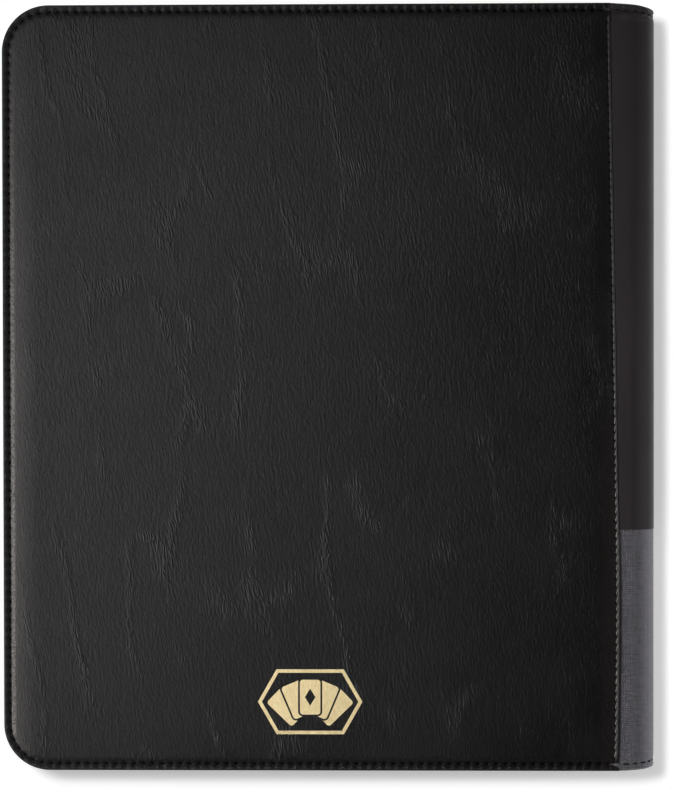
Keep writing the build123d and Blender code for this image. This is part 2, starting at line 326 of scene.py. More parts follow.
def cover(side, mats):
    """Leather, padding and lining of one cover."""
    flip = side == "front"
    body = f"{side}_cover"
    path = outline(SEAM + HEM, SPINE_STEPS)

    def top(x, y):
        return cover_top(x, y, not flip)

    def under(x, y):
        return top(x, y) - LEATHER + 0.5 * smooth(118, 121, x)

    outer = stack(path, [(0, BOARD_Z + 0.05), (0, 46.6), (0, 47.6)], FINE, 18, top)
    inner = stack(path, [(LEATHER_INSET, BOARD_Z + 0.05), (LEATHER_INSET, 47)], COARSE, 14, under)
    verts, faces, uv = shell(path, outer, inner)
    leather = piece(f"{side}_cover_leather_skin", verts, faces, body, mats["leather"], uv,
                    1e-3, flip)
    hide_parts(f"{side}_cover_leather")

    path = outline(FOAM_END, [0, 0.2, 0.6, 1.5, 3, 6, 10, 15, 20])
    wall = [(FOAM_INSET, FOAM_Z + 0.02), (FOAM_INSET, FOAM_Z + 0.6)]
    rounded = [5.2, 5.8, 7, 9.5, 13, 17]

    def foam_top(x, y):
        edge = 0.5 * (1 - smooth(FOAM_INSET, FOAM_INSET + 1.5, edge_distance(x, y)))
        return under(x, y) - 0.06 - edge - 0.4 * (1 - smooth(0, 2.5, FOAM_END - x))

    outer = stack(path, wall, rounded, 14, foam_top)
    inner = stack(path, [], [FOAM_INSET, 7, 13, 17], 8, FOAM_Z + 0.02)
    verts, faces, uv = shell(path, outer, inner)
    foam = piece(f"{side}_cover_padding", verts, faces, body, mats["foam"], uv, 1e-3, flip)
    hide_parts(f"{side}_cover_foam")

    path = outline(LINING_END, [0, 0.5, 1.5, 3, 6, 10, 15, 20])

    def lining_face(x, y):
        d = edge_distance(x, y)
        return LINING_Z + stitch_groove(d) + 0.35 * (1 - smooth(0, 0.6, d - 0.25)) ** 2

    inside = [0.25, 0.35, 0.5, 0.9, 1.6, 2.2, 2.6, 3, 3.4, 3.8, 4.6, 6, 10, 15]
    outer = stack(path, [], inside, 16, lining_face)
    inner = stack(path, [], [0.25, 3, 15], 6, BOARD_Z - 0.02)
    verts, faces, uv = shell(path, outer, inner)
    lining = piece(f"{side}_cover_inner_lining", verts, faces, body, mats["lining"], uv, 1e-3, flip)
    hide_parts(f"{side}_cover_lining")


# ---------------------------------------------------------------- folds and spine


def bend_path(kind):
    """Profile of a layer through the back fold, in x and z, from the cover down to the spine."""
    turn = np.radians(np.linspace(0, 90, 22))
    if kind == "skin":
        radius = 10.6 + 0.4 * smooth(0, 90, np.degrees(turn))
        arc = [(FOLD_X + r * math.sin(a), FOLD_Z + r * math.cos(a)) for r, a in zip(radius, turn)]
        tucked = [(118.5, 48.55), (120.5, 48.75), (122, 48.85), (122.8, 48.95), (123.2, 49.15), (123.6, 49.4)]
        return np.array(tucked + [(124.1, 49.5), (125, 49.55), (126.5, 49.6), (128, 49.6)] + arc)
    radius = {"lining": 5.8, "foam": 6.65}[kind]
    centre = 130.7
    arc = [(centre + radius * math.sin(a), FOLD_Z + radius * math.cos(a)) for a in turn]
    return np.array([(x, FOLD_Z + radius) for x in (LINING_END, 126, 128.5)] + arc)


def outward(path):
    """Unit normals on the outer side of a profile."""
    t = np.gradient(path, axis=0)
    n = np.stack([-t[:, 1], t[:, 0]], 1)
    n /= np.linalg.norm(n, axis=1)[:, None]
    return n if n[-1, 0] > 0 else -n


def strip(path, loops, uv_start=0.0):
    """Closed solid swept along a profile. loops gives for each profile point a closed list of
    (y, offset along the outward normal). All of them have the same length."""
    normal = outward(path)
    run = uv_start + np.append(0, np.cumsum(np.hypot(*np.diff(path, axis=0).T)))
    rows, uv = [], []
    for p, n, s, loop in zip(path, normal, run, loops):
        y, off = np.array(loop, float).T
        x, z = p[0] + off * n[0], p[1] + off * n[1]
        rows.append(np.stack([x + bow(x, y), y, z], 1))
        uv.append(np.stack([np.full_like(y, s), y], 1))
    count = len(loops[0])
    faces = []
    for r in range(len(rows) - 1):
        for c in range(count):
            d = (c + 1) % count
            faces.append((r * count + c, r * count + d, (r + 1) * count + d, (r + 1) * count + c))
    last = (len(rows) - 1) * count
    faces += [tuple(range(count)), tuple(range(last + count - 1, last - 1, -1))]
    return np.vstack(rows), faces, np.vstack(uv)


RIM = [0, 0.1, 0.25, 0.5, 0.8, 1.25, 1.7, 2.1, 2.5, 3, 3.5, 4, 4.6, 5.6, 7]


def skin_loop(y_cut, end, depth, reach, lift, back):
    """Section of the spine's skin along the spine, from a cut end to an end that is turned in. depth is
    how far it is turned in and back how far the end sits back. reach goes from 0, where the skin is
    skived thin and tucked under the cover's leather, to 1."""
    s = math.copysign(1, end)
    skived = LEATHER / 2
    last = abs(end) - 1.2 * (1 - reach) - back
    depth = skived + (depth - skived) * reach
    thick = skived + (LEATHER - skived) * reach
    body = list(np.linspace(abs(y_cut - end) - 4, 8.5, 36 if s > 0 else 18))
    ds = body + RIM[::-1]
    drop = [float(curve(d, RIM_DROP)) for d in ds]
    turned = [(s * (last - 0.9), -max(depth, thick + 0.1) if reach < 1 else -depth)]
    outer = [(y_cut, lift - 0.12), (y_cut + s * 0.15, lift)]
    outer += [(s * (last - d), lift * smooth(0, 8, abs(s * (last - d) - end)) - k * reach)
              for d, k in zip(ds, drop)]
    wall = [(s * last, -0.5 * (depth + 1.3 * reach)), (s * last, -depth)]
    inner_ds = [d for d in ds if d >= 0.9][::-1]
    inner = [(s * (last - d), -float(curve(d, RIM_DROP)) * reach - thick) for d in inner_ds]
    inner[0] = (inner[0][0], min(inner[0][1], -thick))
    return outer + wall + turned + inner + [(y_cut, -thick)]


def draw_back(loop, x):
    """Shorten a section at both ends, as far as the skin is drawn in at x."""
    return [(y - math.copysign(drawn_in(x, y), y) * smooth(148, 162, abs(y)), off) for y, off in loop]


def fold(side, mats):
    """Skin, woven panel, padding and lining of the bend between a cover and the spine."""
    flip = side == "front"
    path = bend_path("skin")
    reach = smooth(122.9, 124.3, path[:, 0])
    depth = 4.3 - 1.15 * smooth(FOLD_X, RIGHT, path[:, 0])
    made = []
    for name, end, lift, kind, node in (
        ("skin", HALF_Y, 0.0, "spine_skin", "spine_leather"),
        ("panel", -HALF_Y, -0.15, "woven", "spine_panel"),
    ):
        back = drawn_in(path[:, 0], end)
        loops = [skin_loop(PANEL_TOP, end, d, r, lift * r, b) for d, r, b in zip(depth, reach, back)]
        verts, faces, uv = strip(path, loops)
        obj = piece(f"{side}_fold_{name}", verts, faces, None, mats[kind], uv, 0, flip)
        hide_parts(f"{node}_{side}_fold")
        made.append(obj)
    lining = bend_path("lining")
    head = [HALF_Y - d for d in (0.1, 0.4, 2.2, 3, 3.8, 6)]
    ys = head + list(np.arange(153, -154, -6.0)) + [-y for y in head[::-1]]
    loop = [(y, stitch_groove(HALF_Y - abs(y))) for y in ys] + [(y, 0.78) for y in ys[::-1]]
    verts, faces, uv = strip(lining, [draw_back(loop, x) for x in lining[:, 0] + 3.2])
    obj = piece(f"{side}_fold_lining", verts, faces, None, mats["lining"], uv, 0, flip)
    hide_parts(f"{side}_hinge_lining")
    made.append(obj)
    pad = bend_path("foam")
    height = 3.0 - 0.8 * smooth(128, 137, pad[:, 0])
    ys = [160, 159] + list(np.arange(150, -151, -10.0)) + [-159, -160]
    loops = [[(y, 0.05) for y in ys] + [(y, h * (0.7 if abs(y) > 159.5 else 1)) for y in ys[::-1]]
             for h in height]
    verts, faces, uv = strip(pad, loops)
    obj = piece(f"{side}_fold_padding", verts, faces, None, mats["foam"], uv, 0, flip)
    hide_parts(f"{side}_hinge_foam")
    made.append(obj)
    for obj in made:
        bend(obj, side)


def bend(obj, side):
    """Bake a piece's transform into its mesh."""

    def z(height):
        return (TOP - height if side == "front" else height) / 1000

    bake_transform(obj)


def spine(mats):
    """Skin and woven panel on the flat of the spine, with its board and lining shortened to match."""
    z = np.linspace(FOLD_Z, SPINE_Z, 15)
    path = np.stack([spine_x(z), z], 1)
    for name, end, lift, kind, node in (
        ("spine_skin_middle", HALF_Y, 0.0, "spine_skin", "spine_leather"),
        ("spine_panel_middle", -HALF_Y, -0.15, "woven", "spine_panel"),
    ):
        loops = [skin_loop(PANEL_TOP, end, 3.15, 1.0, lift, float(drawn_in(RIGHT, end)))] * len(path)
        verts, faces, uv = strip(path, loops, 28.0)
        obj = piece(name, verts, faces, "spine", mats[kind], uv)
        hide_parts(node)
    for node, kind in (("spine_board", "board"), ("spine_lining", "lining_plain")):
        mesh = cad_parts[node].data
        verts = np.array([v.co for v in mesh.vertices]) * 1000
        y = verts[:, 1]
        verts[:, 1] -= np.sign(y) * (drawn_in(RIGHT, y) + 0.05) * smooth(145, 160, np.abs(y))
        faces = [tuple(p.vertices) for p in mesh.polygons]
        obj = piece(node + "_cut", verts, faces, "spine", mats[kind], weld=0.002)
        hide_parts(node)


# ---------------------------------------------------------------- thread


def stitches(name, spots, length, radius, body, material, lean=0.0, flip=False, depth=0.5):
    """Row of separate thread stitches. spots holds (point, direction, normal) for each; lean turns the
    stitches on the surface, and depth is how far their ends go in."""
    rows, sides = 7, 7
    length, radius, lean = (np.broadcast_to(v, len(spots)) for v in (length, radius, lean))
    t = np.linspace(-1, 1, rows)
    lift = 0.16 * (1 - t**4) - depth * np.abs(t) ** 7
    width = 1 - 0.45 * np.abs(t) ** 6
    verts, faces, uv = [], [], []
    for index, (p, d, n) in enumerate(spots):
        p, d, n = (np.array(v, float) for v in (p, d, n))
        d /= np.linalg.norm(d)
        side = np.cross(n, d)
        d = d * math.cos(lean[index]) + side * math.sin(lean[index])
        side = np.cross(n, d)
        base = len(verts)
        stretch = length[index] * (1 + 0.05 * rng.standard_normal())
        for k in range(rows):
            centre = p + d * t[k] * stretch / 2 + n * lift[k]
            for j in range(sides):
                a = 2 * math.pi * j / sides
                verts.append(centre + radius[index] * width[k] * (1.1 * math.cos(a) * side + math.sin(a) * n))
                uv.append((index * 4 + t[k] * stretch / 2, j))
        for k in range(rows - 1):
            for j in range(sides):
                a, b = base + k * sides + j, base + k * sides + (j + 1) % sides
                faces.append((a, b, b + sides, a + sides))
        faces.append(tuple(base + j for j in range(sides))[::-1])
        faces.append(tuple(base + (rows - 1) * sides + j for j in range(sides)))
    return piece(name, verts, faces, body, material, uv, 0, flip, 60)


def along(points, normals, pitch):
    """Evenly spaced spots on a polyline: point, direction and surface normal."""
    points, normals = np.array(points, float), np.array(normals, float)
    run = np.append(0, np.cumsum(np.linalg.norm(np.diff(points, axis=0), axis=1)))
    count = max(1, int(round(run[-1] / pitch)))
    at = (np.arange(count) + 0.5) * run[-1] / count

    def sample(places, values):
        return np.stack([np.interp(places, run, values[:, i]) for i in range(3)], 1)

    ways = sample(at + 0.4, points) - sample(at - 0.4, points)
    return list(zip(sample(at, points), ways, sample(at, normals)))


def stitch_line():
    """The edge stitching's line, in steps of one stitch: middles, directions and the exact pitch."""
    points, normals, _, run = outline(SEAM + HEM, SPINE_STEPS)
    count = int(round(run[-1] / STITCH_PITCH))
    middle = (np.arange(count) + 0.5) * run[-1] / count
    line = points + STITCH_INSET * normals
    at = [np.stack([np.interp(middle + d, run, line[:, i]) for i in (0, 1)], 1) for d in (-0.3, 0, 0.3)]
    return at[1][1:-1], (at[2] - at[0])[1:-1], run[-1] / count


def sew(side, mats):
    """Edge stitching of a cover, outside and inside, the seam beside the spine, near-black patches of
    painted shade in their needle holes, and the stitching across the fold's ends."""
    flip = side == "front"
    body = f"{side}_cover"
    middles, ways, _ = stitch_line()
    x, y = middles.T
    outside = np.stack([x + bow(x, y), y, cover_top(x, y, not flip) - 0.12], 1)
    inside = np.stack([x, y, np.full_like(x, LINING_Z + 0.2)], 1)
    ways = np.column_stack([ways, np.zeros(len(ways))])
    spots = [(p, w, (0, 0, 1.0)) for p, w in zip(outside, ways)]
    stitches(f"{side}_cover_edge_stitching", spots, STITCH_LENGTH, STITCH_RADIUS, body, mats["thread"],
             flip=flip)
    middles, turns = (outside[:-1] + outside[1:]) / 2, ways[:-1] + ways[1:]
    # painted shade: near-black patches laid in the needle holes between the outside stitches
    holes = [(p + (0, 0, 0.02), w, (0, 0, 1.0)) for p, w in zip(middles, turns)]
    stitches(f"{side}_cover_painted_hole_patches", holes, 1.3, 0.3, body, mats["hole"], flip=flip, depth=0.3)
    spots = [(p, w, (0, 0, -1.0)) for p, w in zip(inside, ways)]
    stitches(f"{side}_cover_inner_stitching", spots, STITCH_LENGTH, 0.26, body, mats["thread"],
             flip=flip, depth=0.3)
    y = np.linspace(-HALF_Y + 5.5, HALF_Y - 5.5, 80)
    x = seam_x(y)
    z = np.array([float(cover_top(SEAM, v, not flip)) for v in y])
    up = np.tile([0, 0, 1.0], (len(y), 1))
    spots = along(np.stack([x, y, z + 0.02], 1), up, SEAM_PITCH)
    loose = 1 - smooth(-60, 40, [p[1] for p, _, _ in spots])
    stitches(f"{side}_seam_stitching", spots, 3.7 - 0.45 * loose, 0.15 + 0.1 * loose, body,
             mats["seam_thread"], lean=-0.24 * loose, flip=flip, depth=0.4)
    # painted shade: near-black patches in the seam's needle holes
    holes = [(p + (-0.72, -1.35, 0.05), d, n) for p, d, n in spots]
    stitches(f"{side}_seam_painted_hole_patches", holes, 1.5, 0.26, body, mats["hole"], lean=0.15,
             flip=flip, depth=0.3)

    path = bend_path("skin")
    normal = outward(path)
    keep = path[:, 0] > 124.6
    for end, part in ((HALF_Y, "head"), (-HALF_Y, "tail")):
        rows = []
        for p, n in zip(path[keep], normal[keep]):
            y = end - math.copysign(STITCH_INSET + float(drawn_in(p[0], end)), end)
            rows.append((p[0] + bow(p[0], y) - 0.8 * n[0], y, p[1] - 0.8 * n[1]))
        ups = [(n[0], 0, n[1]) for n in normal[keep]]
        obj = stitches(f"{side}_fold_{part}_stitching", along(rows, ups, STITCH_PITCH), STITCH_LENGTH,
                       STITCH_RADIUS, None, mats["thread"], flip=flip)
        bend(obj, side)


def sew_spine(mats):
    """Edge stitching across the spine's head and tail."""
    spots = []
    for end in (HALF_Y, -HALF_Y):
        y = end - math.copysign(STITCH_INSET + float(drawn_in(RIGHT, end)), end)
        z = np.linspace(FOLD_Z, SPINE_Z, 12)
        line = np.stack([spine_x(z) - 0.77, np.full_like(z, y), z], 1)
        spots += along(line, np.tile([1.0, 0, 0], (len(z), 1)), STITCH_PITCH)
    stitches("spine_stitching", spots, STITCH_LENGTH, STITCH_RADIUS, "spine", mats["thread"])


# ---------------------------------------------------------------- emblem


def emblem(mats):
    """Gold foil pressed on the padded leather, cut from the CAD drawing."""
    bm = bmesh.new()
    bm.from_mesh(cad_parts["back_cover_emblem"].data)
    bmesh.ops.remove_doubles(bm, verts=bm.verts, dist=1e-6)
    for _ in range(3):
        long = [e for e in bm.edges if e.calc_length() > 0.0025]
        bmesh.ops.subdivide_edges(bm, edges=long, cuts=1, use_grid_fill=True)
    bmesh.ops.triangulate(bm, faces=[f for f in bm.faces if len(f.verts) > 4])
    bm.verts.index_update()
    co = np.array([v.co for v in bm.verts]) * 1000
    share = (co[:, 2] - co[:, 2].min()) / np.ptp(co[:, 2])
    z = cover_top(co[:, 0], co[:, 1], True) - 0.05 + 0.1 * share
    verts = np.stack([co[:, 0], co[:, 1], z], 1)
    faces = [tuple(v.index for v in f.verts) for f in bm.faces]
    bm.free()
    obj = piece("back_cover_foil_emblem", verts, faces, "back_cover", mats["foil"], sharp=30)
    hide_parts("back_cover_emblem")


# ---------------------------------------------------------------- pages


def page_sheet():
    """Flat pocket page as (verts, faces, material index) lists: a punched sheet and its clear pockets."""
    bm = bmesh.new()
    right, left, top = PAGE_INNER - PAGE_CORNER, PAGE_OUTER + PAGE_CORNER, PAGE_HALF_Y - PAGE_CORNER
    loops = [[]]
    for cx, cy, start in ((right, top, 0), (left, top, 90), (left, -top, 180), (right, -top, 270)):
        for a in np.radians(start + np.linspace(0, 90, 6)):
            loops[0].append((cx + PAGE_CORNER * math.cos(a), cy + PAGE_CORNER * math.sin(a)))
    turn = np.linspace(0, 2 * math.pi, 33)[:-1]
    for y in RING_YS:
        loops.append([(-1 + 4 * math.cos(a), y + 4 * math.sin(a)) for a in turn])
    edges = []
    for loop in loops:
        vs = [bm.verts.new((x, y, -SHEET / 2)) for x, y in loop]
        edges += [bm.edges.new((vs[i], vs[(i + 1) % len(vs)])) for i in range(len(vs))]
    filled = bmesh.ops.triangle_fill(bm, edges=edges, use_beauty=True, use_dissolve=False)
    faces = [f for f in filled["geom"] if isinstance(f, bmesh.types.BMFace)]
    out = bmesh.ops.extrude_face_region(bm, geom=faces)
    upper = [v for v in out["geom"] if isinstance(v, bmesh.types.BMVert)]
    bmesh.ops.translate(bm, verts=upper, vec=(0, 0, SHEET))
    for x in range(-230, 4, 9):
        everything = bm.verts[:] + bm.edges[:] + bm.faces[:]
        bmesh.ops.bisect_plane(bm, geom=everything, plane_co=(x, 0, 0), plane_no=(1, 0, 0))
    bmesh.ops.dissolve_degenerate(bm, dist=1e-3, edges=bm.edges[:])
    bm.verts.index_update()
    verts = [tuple(v.co) for v in bm.verts]
    polys = [tuple(v.index for v in f.verts) for f in bm.faces]
    kinds = [0] * len(polys)
    bm.free()
    for face in (1, -1):
        for col in range(3):
            for row in range(3):
                add_pocket(verts, polys, kinds, -16.5 - col * 71.6, -94.6 + row * 94.6, face)
    return np.array(verts), polys, kinds


def add_pocket(verts, polys, kinds, right, middle, face):
    """Clear pocket: a thin film welded on three sides, a little puffed, with soft wrinkles."""
    nx, ny = 9, 11
    wide, high = POCKET
    u, v = np.meshgrid(np.linspace(0, 1, nx), np.linspace(0, 1, ny))
    x = right - wide * u
    y = middle + high / 2 * (2 * v - 1)
    d = np.minimum(np.minimum(u, 1 - u) * wide, np.minimum(v, 1 - v) * high)
    phase = right * 0.37 + middle * 0.21
    puff = 0.05 + 0.2 * smooth(0, 9, d)
    puff += 0.035 * np.sin(x / 7 + phase) * np.sin(y / 9 + phase) * smooth(0, 14, d)
    base = len(verts)
    for height in (face * SHEET / 2 + face * puff, np.full_like(puff, face * 0.135)):
        verts.extend(np.stack([x, y, height], -1).reshape(-1, 3).tolist())
    count = nx * ny
    quads = grid_faces(ny, nx, base) + [q[::-1] for q in grid_faces(ny, nx, base + count)]
    ring = list(range(nx)) + [r * nx + nx - 1 for r in range(1, ny)]
    ring += [(ny - 1) * nx + c for c in range(nx - 2, -1, -1)] + [r * nx for r in range(ny - 2, 0, -1)]
    quads += [(base + a, base + b, base + count + b, base + count + a)
              for a, b in zip(ring, ring[1:] + ring[:1])]
    polys += quads
    kinds += [1] * len(quads)


def pages(mats):
    """The pocket pages, fanned on the rings as in the CAD model."""
    verts, polys, kinds = page_sheet()
    for index in range(PAGES):
        offset = (index - (PAGES - 1) / 2) * PAGE_PITCH
        tilt = math.radians(0.368 * offset)
        hinge_x = RING_X - math.sqrt(RING_R**2 - offset**2)
        x, y, z = verts.T
        z = z + 0.25 * np.sin(x / 60 + index) * smooth(0, 120, -x)
        placed = np.stack([hinge_x + x * math.cos(tilt) + z * math.sin(tilt), y,
                           MID_Z + offset - x * math.sin(tilt) + z * math.cos(tilt)], 1)
        name = f"page_{index + 1:02d}"
        obj = piece(f"pocket_{name}", placed, polys, f"leaf_{index + 1:02d}", mats["page"], sharp=50)
        obj.data.materials.append(mats["film"])
        obj.data.polygons.foreach_set("material_index", kinds)
        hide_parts(name)


# ---------------------------------------------------------------- materials


class Shader:
    """Small helper that builds a node material. In add, an input named _0 is the socket at that place."""

    def __init__(self, name, **values):
        self.material = bpy.data.materials.new(name)
        self.material.use_nodes = True
        self.nodes = self.material.node_tree.nodes
        self.links = self.material.node_tree.links
        self.bsdf = self.nodes["Principled BSDF"]
        for key, value in values.items():
            self.bsdf.inputs[key.replace("_", " ")].default_value = value

    def add(self, kind, settings=None, **inputs):
        node = self.nodes.new("ShaderNode" + kind)
        for key, value in (settings or {}).items():
            setattr(node, key, value)
        for key, value in inputs.items():
            key = int(key[1:]) if key[1:].isdigit() else key.replace("_", " ")
            if isinstance(value, bpy.types.NodeSocket):
                self.links.new(value, node.inputs[key])
            else:
                node.inputs[key].default_value = value
        return node

    def math(self, operation, a, b=0.0, clamp=False):
        return self.add("Math", {"operation": operation, "use_clamp": clamp}, _0=a, _1=b).outputs[0]

    def times(self, a, b):
        return self.math("MULTIPLY", a, b)

    def uv(self):
        return self.add("UVMap", {"uv_map": "Run"}).outputs[0]

    def place(self, scale=(1, 1, 1), turn=(0, 0, 0), uv=False):
        source = self.uv() if uv else self.add("TexCoord").outputs["Object"]
        return self.add("Mapping", None, Vector=source, Scale=scale, Rotation=turn).outputs[0]

    def here(self):
        """The three coordinates of a point on the object."""
        return self.add("SeparateXYZ", None, Vector=self.place()).outputs

    def run(self):
        """Distance along a piece's stitching or sweep, and across it."""
        return self.add("SeparateXYZ", None, Vector=self.uv()).outputs

    def noise(self, scale, detail=4.0, roughness=0.55, at=None, distortion=0.0):
        node = self.add("TexNoise", None, Scale=scale, Detail=detail, Roughness=roughness,
                        Distortion=distortion)
        self.links.new(at or self.place(), node.inputs["Vector"])
        return node.outputs["Fac"]

    def remap(self, value, a, b, c, d, smoothly=False):
        node = self.add("MapRange", {"interpolation_type": "SMOOTHSTEP" if smoothly else "LINEAR"},
                        Value=value, From_Min=a, From_Max=b, To_Min=c, To_Max=d)
        return node.outputs[0]

    def mix(self, factor, a, b):
        node = self.add("Mix", {"data_type": "RGBA"}, Factor=factor)
        for socket, value in ((node.inputs[6], a), (node.inputs[7], b)):
            if isinstance(value, bpy.types.NodeSocket):
                self.links.new(value, socket)
            else:
                socket.default_value = (*value, 1)
        return node.outputs[2]

    def finish(self, color, roughness, bumps=()):
        """Wire up the surface. bumps holds (height, strength, distance in metres); below 0 it sinks."""
        self.links.new(color, self.bsdf.inputs["Base Color"])
        self.links.new(roughness, self.bsdf.inputs["Roughness"])
        normal = None
        for height, strength, distance in bumps:
            node = self.add("Bump", {"invert": strength < 0}, Height=height, Strength=abs(strength),
                            Distance=distance)
            if normal:
                self.links.new(normal, node.inputs["Normal"])
            normal = node.outputs[0]
        if normal:
            self.links.new(normal, self.bsdf.inputs["Normal"])
        return self.material


def leather_material():
    """Black coated leather: small grain, bundles of hairline creases, puckers and needle holes along the
    edge, and a brown tint beside the seam. Painted light as well: painted shade darkening it towards the
    spine, painted highlights on the creases and on the fore-edge's padded shoulder, and painted shade in
    the needle holes; the outermost edge is painted near-black."""
    s = Shader("cover_leather", Specular_IOR_Level=0.23)
    turned = s.place(turn=(0, 0, math.radians(-10)))
    wander = s.add("TexNoise", None, Vector=turned, Scale=55.0, Detail=3.0).outputs["Color"]
    wide = s.add("TexNoise", None, Vector=turned, Scale=17.0, Detail=3.0).outputs["Color"]

    def stretched(x, y):
        return s.add("Mapping", None, Vector=turned, Scale=(x, y, x)).outputs[0]

    def lines(x, y, drift, amount, width):
        away = s.add("VectorMath", {"operation": "SCALE"}, _0=drift, Scale=amount).outputs[0]
        at = s.add("VectorMath", {"operation": "ADD"}, _0=stretched(x, y), _1=away).outputs[0]
        cell = s.add("TexVoronoi", {"feature": "DISTANCE_TO_EDGE"}, Vector=at, Scale=1.0).outputs["Distance"]
        return s.remap(cell, 0.0, width, 1.0, 0.0, True)

    both = s.times
    vein = both(lines(38, 9, wide, 0.9, 0.1), s.remap(s.noise(28, 4), 0.42, 0.58, 0.0, 1.0, True))
    patch = s.math("MAXIMUM", vein, s.remap(s.noise(11, 4), 0.45, 0.75, 0.0, 0.25, True))
    cut = both(lines(800, 150, wander, 1.4, 0.3), patch)
    hair = s.noise(1.0, 2, 0.5, stretched(1250, 300))
    grain = s.noise(1.0, 2, 0.5, stretched(1700, 950))

    here = s.here()
    across = s.remap(here[0], -0.11, 0.12, 0.0, 1.0)
    headwards = s.remap(here[1], 0.148, 0.02, 0.0, 1.0)
    # painted shade: the colour darkens from the fore-edge towards the spine, as if lit from the left, over a
    # random broad tone
    broad = s.math("ADD", s.remap(s.noise(9, 3), 0.3, 0.7, 0.25, -0.25), across)
    color = s.mix(broad, (0.0068, 0.0064, 0.0065), (0.0018, 0.0016, 0.0017))
    # painted highlight: the creases are painted a little lighter
    color = s.mix(both(cut, 0.25), color, (0.011, 0.0105, 0.0108))
    rough = s.math("ADD", s.remap(s.noise(35, 4), 0.3, 0.7, 0.49, 0.59), s.remap(hair, 0.35, 0.65, -0.04, 0.05))
    rough = s.math("SUBTRACT", rough, both(across, 0.16))

    length, inset = s.run()[:2]
    wave = s.math("COSINE", both(length, 2 * math.pi / (stitch_line()[2] / 1000)))

    def band(low, rise, fall, high):
        return both(s.remap(inset, low, rise, 0, 1, True), s.remap(inset, fall, high, 1, 0, True))

    pucker = both(wave, band(0.0003, 0.0022, 0.0032, 0.0048))
    hole = both(s.remap(wave, 0.35, 0.8, 0, 1, True), band(0.0024, 0.0028, 0.0032, 0.0036))
    speckle = s.remap(s.noise(1150, 2, 0.6), 0.4, 0.6, 0.25, 1.0)
    padded = s.remap(inset, 0.0031, 0.0037, 0, 1, True)
    # painted highlight: a speckled lighter strip on the padded shoulder inside the fore-edge's stitching, and a
    # painted sheen coming in from the fore-edge, both stronger towards the tail
    painted_shoulder_highlight = both(both(s.remap(here[0], -0.1359, -0.1345, 1, 0, True), padded), both(speckle, headwards))
    painted_fore_edge_sheen = both(s.remap(here[0], -0.1365, -0.124, 0.2, 0.0, True), s.remap(here[1], 0.148, 0.02, 0.2, 1.0))
    color = s.mix(s.math("MAXIMUM", painted_shoulder_highlight, both(painted_fore_edge_sheen, padded)), color, (0.125, 0.114, 0.108))
    brown = both(s.remap(here[0], 0.1155, 0.119, 0, 1, True), s.remap(here[1], 0.03, -0.05, 0, 1, True))
    color = s.mix(both(brown, speckle), color, (0.008, 0.0045, 0.0045))
    # painted shade: the needle holes are painted near-black; so is the outermost 0.7 mm of the edge
    black = s.math("MAXIMUM", hole, s.remap(inset, 0.0002, 0.0007, 1, 0, True))
    color = s.mix(black, color, (0.0003, 0.0003, 0.0003))
    rough = s.math("ADD", rough, both(black, 0.4), True)

    gain = s.remap(s.math("SUBTRACT", here[0], here[1]), -0.2, 0.2, 1.35, 1.15)
    pores = both(s.noise(1500, 3, 0.6), s.remap(inset, 0.003, 0.009, 1.0, 0.3, True))
    creases = both(cut, s.remap(across, 0.4, 0.9, 1.2, 0.5, True))
    bumps = [(pucker, -0.55, 0.00045), (hole, -0.5, 0.0004), (pores, 0.6, 0.0003), (creases, 0.9, 0.0002),
             (both(hair, gain), 0.9, 0.00018), (both(grain, gain), 0.9, 0.00014)]
    return s.finish(color, rough, bumps)


def spine_material():
    """Smooth satin skin of the spine, faintly brown, with very fine grain and wrinkled ends."""
    s = Shader("spine_skin", Specular_IOR_Level=0.22)
    broad = s.noise(14, 3)
    fine = s.noise(1500, 3, 0.6)
    color = s.mix(s.remap(broad, 0.3, 0.7, 0, 1), (0.0185, 0.0147, 0.0154), (0.0243, 0.0197, 0.0207))
    rough = s.remap(s.noise(50, 4), 0.3, 0.7, 0.42, 0.52)
    end = s.math("ABSOLUTE", s.here()[1])
    wrinkle = s.times(s.noise(330, 3, 0.6, distortion=0.6), s.remap(end, 0.1565, 0.16, 0, 1, True))
    return s.finish(color, rough, [(wrinkle, 0.9, 0.0014), (broad, 0.12, 0.0008), (fine, 0.2, 0.00004)])


def woven(name, dark, light, pitch, roughness, strength, sheen, painted_edge_sheen=0.0):
    """Plain weave along and across the piece's own run; the last argument is how far its colour is
    lightened towards the spine's outer face, a painted highlight along the grazing edge."""
    s = Shader(name, Specular_IOR_Level=0.35, Sheen_Weight=sheen, Sheen_Roughness=0.45)
    run = s.run()
    scales = ((170, 0.9 / pitch, 1), (0.9 / pitch, 170, 1))
    slub = [s.noise(1.0, 3, 0.6, s.place(scale, uv=True)) for scale in scales]
    turns = [s.math("ADD", s.times(run[i], math.pi / pitch), s.times(slub[i], 1.2)) for i in (0, 1)]
    a, b = (s.math("SINE", turn) for turn in turns)
    over = s.times(a, b)
    warp = s.times(s.math("ABSOLUTE", a), s.remap(over, -0.4, 0.4, 0.35, 1.0, True))
    weft = s.times(s.math("ABSOLUTE", b), s.remap(over, -0.4, 0.4, 1.0, 0.35, True))
    height = s.math("MAXIMUM", warp, weft)
    fuzz = s.noise(3000, 3, 0.7)
    uneven = s.remap(s.math("ADD", *slub), 0.82, 1.18, 0, 1)
    tone = s.math("ADD", s.times(height, 0.5), s.times(uneven, 0.5), True)
    # painted highlight: lighter towards the spine's outer face, where the panel turns away
    place_tone = s.remap(s.here()[0], 0.1325, 0.1388, 0, painted_edge_sheen, True)
    color = s.mix(s.math("ADD", s.times(tone, 1 - painted_edge_sheen), place_tone, True), dark, light)
    rough = s.remap(height, 0, 1, roughness + 0.08, roughness - 0.06)
    return s.finish(color, rough, [(height, strength, pitch * 0.3), (fuzz, 0.25, 0.00004)])


